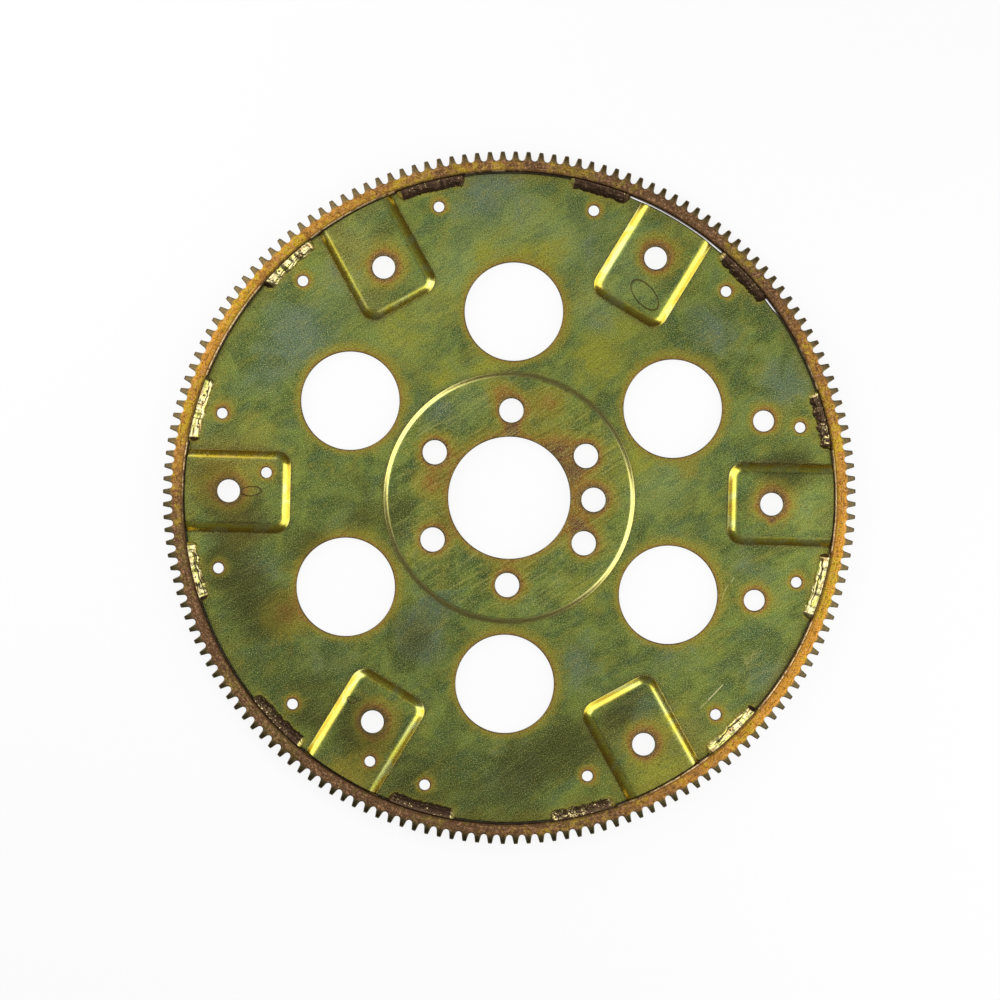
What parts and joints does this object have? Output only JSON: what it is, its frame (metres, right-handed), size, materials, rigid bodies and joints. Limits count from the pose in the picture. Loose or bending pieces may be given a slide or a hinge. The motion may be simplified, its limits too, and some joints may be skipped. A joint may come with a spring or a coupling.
{
  "type": "flexplate",
  "caption": "Round pressed steel flexplate with a starter ring gear welded round it, a centre bore, crankshaft bolt holes, raised converter pads and round windows.",
  "frame": {"origin": "on the centre bore's axis, at the ring gear's engine side, which the part lies on", "axes": "+Z along the crankshaft's axis towards the torque converter, +X through the middle of one converter pad, beside the dowel hole"},
  "size_m": [0.3598, 0.3598, 0.01],
  "materials": {
    "plated_sheet": "yellow chromate over zinc, olive with purple-brown halos round the holes",
    "gear_steel": "yellow chromate over a machined ring, mottled brown and orange",
    "weld_metal": "rippled weld metal under yellow chromate, from dark brown to pale gold"
  },
  "bodies": {
    "root": {"flex_plate": "plated_sheet", "ring_gear": "gear_steel", "weld_bead_01": "weld_metal", "weld_bead_02": "weld_metal", "weld_bead_03": "weld_metal", "weld_bead_04": "weld_metal", "weld_bead_05": "weld_metal", "weld_bead_06": "weld_metal", "weld_bead_07": "weld_metal", "weld_bead_08": "weld_metal", "weld_bead_09": "weld_metal", "weld_bead_10": "weld_metal", "weld_bead_11": "weld_metal", "weld_bead_12": "weld_metal"}
  },
  "joints": []
}
